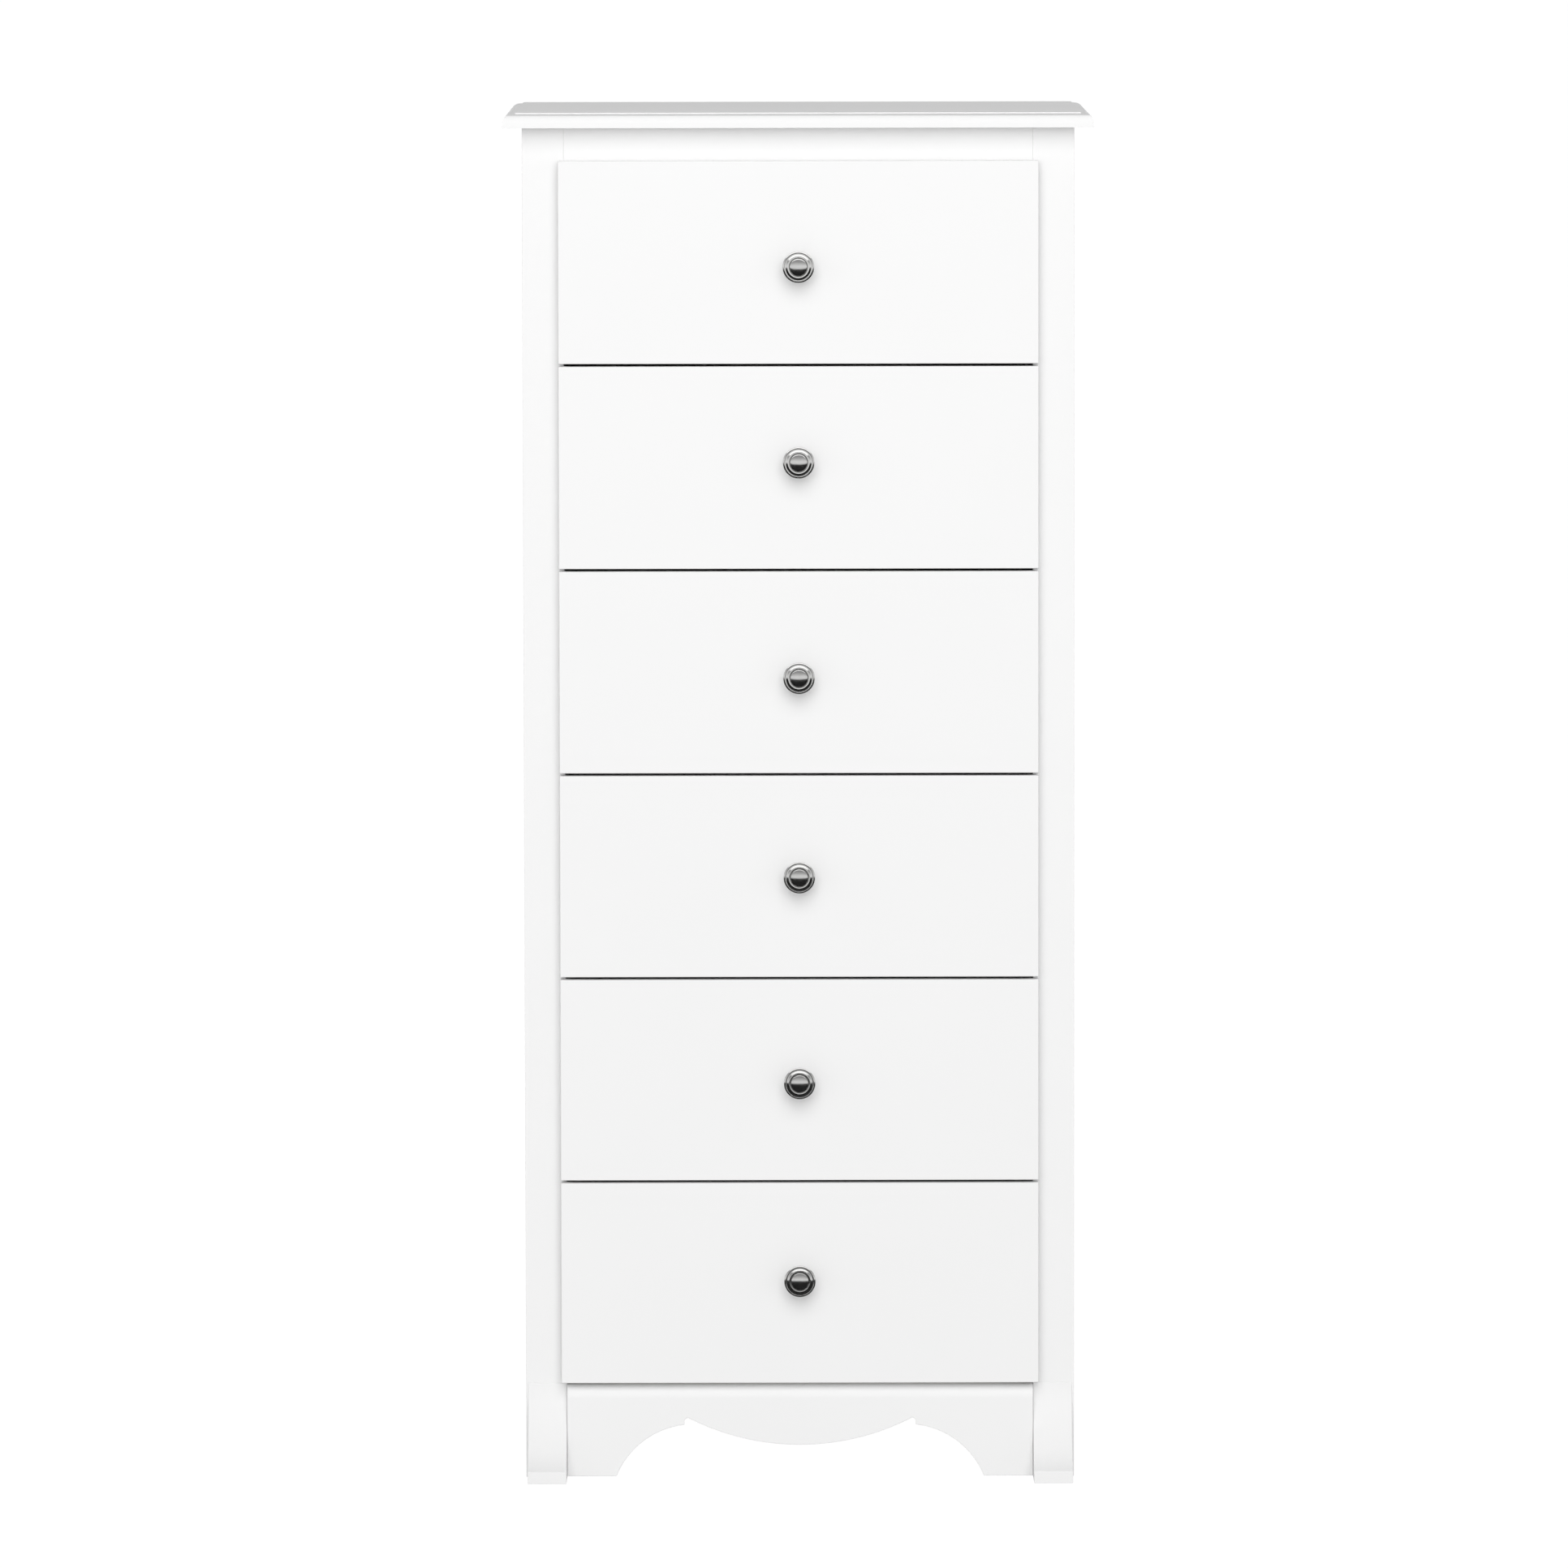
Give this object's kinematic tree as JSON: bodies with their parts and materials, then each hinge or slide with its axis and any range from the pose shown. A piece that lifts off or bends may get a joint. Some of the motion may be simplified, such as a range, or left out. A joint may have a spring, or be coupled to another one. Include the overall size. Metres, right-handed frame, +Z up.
{
  "type": "tall chest of drawers",
  "caption": "Tall, narrow white chest with a moulded top, flat lap-over drawers with round metal knobs on roller runners, a scalloped apron and flared front feet.",
  "frame": {"origin": "on the floor, in the middle of the overall width and depth", "axes": "+Z up, +X to the right for someone who faces the drawers, drawers open along -Y"},
  "size_m": [0.59, 0.44, 1.374],
  "materials": {
    "painted_board": "satin white paint on fibreboard",
    "box_board": "white foil on fibreboard",
    "white_hardboard": "white lacquered hardboard",
    "plain_wood": "planed, unfinished",
    "coated_steel": "white powder coat, satin",
    "zinc": "bright zinc plate",
    "satin_nickel": "satin nickel plate, turned rings",
    "nylon": "smooth white"
  },
  "bodies": {
    "case": {"top_panel": "painted_board", "left_side_panel": "painted_board", "right_side_panel": "painted_board", "left_stile": "painted_board", "right_stile": "painted_board", "left_foot": "painted_board", "right_foot": "painted_board", "top_rail": "painted_board", "bottom_rail": "painted_board", "apron": "painted_board", "rear_rails": "plain_wood", "back_panel": "white_hardboard", "left_bearers": "plain_wood", "right_bearers": "plain_wood", "case_runners": "coated_steel", "case_fasteners": "zinc"},
    "drawer_1": {"drawer_1_front": "painted_board", "drawer_1_box": "box_board", "drawer_1_bottom": "white_hardboard", "drawer_1_knob": "satin_nickel", "drawer_1_fittings": "coated_steel"},
    "drawer_1_rollers": {"drawer_1_rollers": "nylon"},
    "drawer_2": {"drawer_2_front": "painted_board", "drawer_2_box": "box_board", "drawer_2_bottom": "white_hardboard", "drawer_2_knob": "satin_nickel", "drawer_2_fittings": "coated_steel"},
    "drawer_2_rollers": {"drawer_2_rollers": "nylon"},
    "drawer_3": {"drawer_3_front": "painted_board", "drawer_3_box": "box_board", "drawer_3_bottom": "white_hardboard", "drawer_3_knob": "satin_nickel", "drawer_3_fittings": "coated_steel"},
    "drawer_3_rollers": {"drawer_3_rollers": "nylon"},
    "drawer_4": {"drawer_4_front": "painted_board", "drawer_4_box": "box_board", "drawer_4_bottom": "white_hardboard", "drawer_4_knob": "satin_nickel", "drawer_4_fittings": "coated_steel"},
    "drawer_4_rollers": {"drawer_4_rollers": "nylon"},
    "drawer_5": {"drawer_5_front": "painted_board", "drawer_5_box": "box_board", "drawer_5_bottom": "white_hardboard", "drawer_5_knob": "satin_nickel", "drawer_5_fittings": "coated_steel"},
    "drawer_5_rollers": {"drawer_5_rollers": "nylon"},
    "drawer_6": {"drawer_6_front": "painted_board", "drawer_6_box": "box_board", "drawer_6_bottom": "white_hardboard", "drawer_6_knob": "satin_nickel", "drawer_6_fittings": "coated_steel"},
    "drawer_6_rollers": {"drawer_6_rollers": "nylon"},
    "case_rollers_1": {"case_rollers_1": "nylon"},
    "case_rollers_2": {"case_rollers_2": "nylon"},
    "case_rollers_3": {"case_rollers_3": "nylon"},
    "case_rollers_4": {"case_rollers_4": "nylon"},
    "case_rollers_5": {"case_rollers_5": "nylon"},
    "case_rollers_6": {"case_rollers_6": "nylon"}
  },
  "joints": [
    {"name": "drawer_1_slide", "type": "slide", "parent": "case", "child": "drawer_1", "axis": [0, -1, 0], "range_m": [0, 0.26]},
    {"name": "drawer_2_slide", "type": "slide", "parent": "case", "child": "drawer_2", "axis": [0, -1, 0], "range_m": [0, 0.26]},
    {"name": "drawer_3_slide", "type": "slide", "parent": "case", "child": "drawer_3", "axis": [0, -1, 0], "range_m": [0, 0.26]},
    {"name": "drawer_4_slide", "type": "slide", "parent": "case", "child": "drawer_4", "axis": [0, -1, 0], "range_m": [0, 0.26]},
    {"name": "drawer_5_slide", "type": "slide", "parent": "case", "child": "drawer_5", "axis": [0, -1, 0], "range_m": [0, 0.26]},
    {"name": "drawer_6_slide", "type": "slide", "parent": "case", "child": "drawer_6", "axis": [0, -1, 0], "range_m": [0, 0.26]},
    {"name": "drawer_1_roller_spin", "type": "hinge", "parent": "drawer_1", "child": "drawer_1_rollers", "pos_m": [0, 0.1665, 1.1417], "axis": [1, 0, 0], "continuous": true},
    {"name": "case_roller_1_spin", "type": "hinge", "parent": "case", "child": "case_rollers_1", "pos_m": [0, -0.152, 1.1417], "axis": [1, 0, 0], "continuous": true},
    {"name": "drawer_2_roller_spin", "type": "hinge", "parent": "drawer_2", "child": "drawer_2_rollers", "pos_m": [0, 0.1665, 0.9365], "axis": [1, 0, 0], "continuous": true},
    {"name": "case_roller_2_spin", "type": "hinge", "parent": "case", "child": "case_rollers_2", "pos_m": [0, -0.152, 0.9365], "axis": [1, 0, 0], "continuous": true},
    {"name": "drawer_3_roller_spin", "type": "hinge", "parent": "drawer_3", "child": "drawer_3_rollers", "pos_m": [0, 0.1665, 0.7313], "axis": [1, 0, 0], "continuous": true},
    {"name": "case_roller_3_spin", "type": "hinge", "parent": "case", "child": "case_rollers_3", "pos_m": [0, -0.152, 0.7313], "axis": [1, 0, 0], "continuous": true},
    {"name": "drawer_4_roller_spin", "type": "hinge", "parent": "drawer_4", "child": "drawer_4_rollers", "pos_m": [0, 0.1665, 0.5261], "axis": [1, 0, 0], "continuous": true},
    {"name": "case_roller_4_spin", "type": "hinge", "parent": "case", "child": "case_rollers_4", "pos_m": [0, -0.152, 0.5261], "axis": [1, 0, 0], "continuous": true},
    {"name": "drawer_5_roller_spin", "type": "hinge", "parent": "drawer_5", "child": "drawer_5_rollers", "pos_m": [0, 0.1665, 0.3209], "axis": [1, 0, 0], "continuous": true},
    {"name": "case_roller_5_spin", "type": "hinge", "parent": "case", "child": "case_rollers_5", "pos_m": [0, -0.152, 0.3209], "axis": [1, 0, 0], "continuous": true},
    {"name": "drawer_6_roller_spin", "type": "hinge", "parent": "drawer_6", "child": "drawer_6_rollers", "pos_m": [0, 0.1665, 0.1157], "axis": [1, 0, 0], "continuous": true},
    {"name": "case_roller_6_spin", "type": "hinge", "parent": "case", "child": "case_rollers_6", "pos_m": [0, -0.152, 0.1157], "axis": [1, 0, 0], "continuous": true}
  ],
  "couplings": [
    {"joint": "drawer_1_roller_spin", "follows": "drawer_1_slide", "rad_per_m": 105.26},
    {"joint": "case_roller_1_spin", "follows": "drawer_1_slide", "rad_per_m": 105.26},
    {"joint": "drawer_2_roller_spin", "follows": "drawer_2_slide", "rad_per_m": 105.26},
    {"joint": "case_roller_2_spin", "follows": "drawer_2_slide", "rad_per_m": 105.26},
    {"joint": "drawer_3_roller_spin", "follows": "drawer_3_slide", "rad_per_m": 105.26},
    {"joint": "case_roller_3_spin", "follows": "drawer_3_slide", "rad_per_m": 105.26},
    {"joint": "drawer_4_roller_spin", "follows": "drawer_4_slide", "rad_per_m": 105.26},
    {"joint": "case_roller_4_spin", "follows": "drawer_4_slide", "rad_per_m": 105.26},
    {"joint": "drawer_5_roller_spin", "follows": "drawer_5_slide", "rad_per_m": 105.26},
    {"joint": "case_roller_5_spin", "follows": "drawer_5_slide", "rad_per_m": 105.26},
    {"joint": "drawer_6_roller_spin", "follows": "drawer_6_slide", "rad_per_m": 105.26},
    {"joint": "case_roller_6_spin", "follows": "drawer_6_slide", "rad_per_m": 105.26}
  ]
}
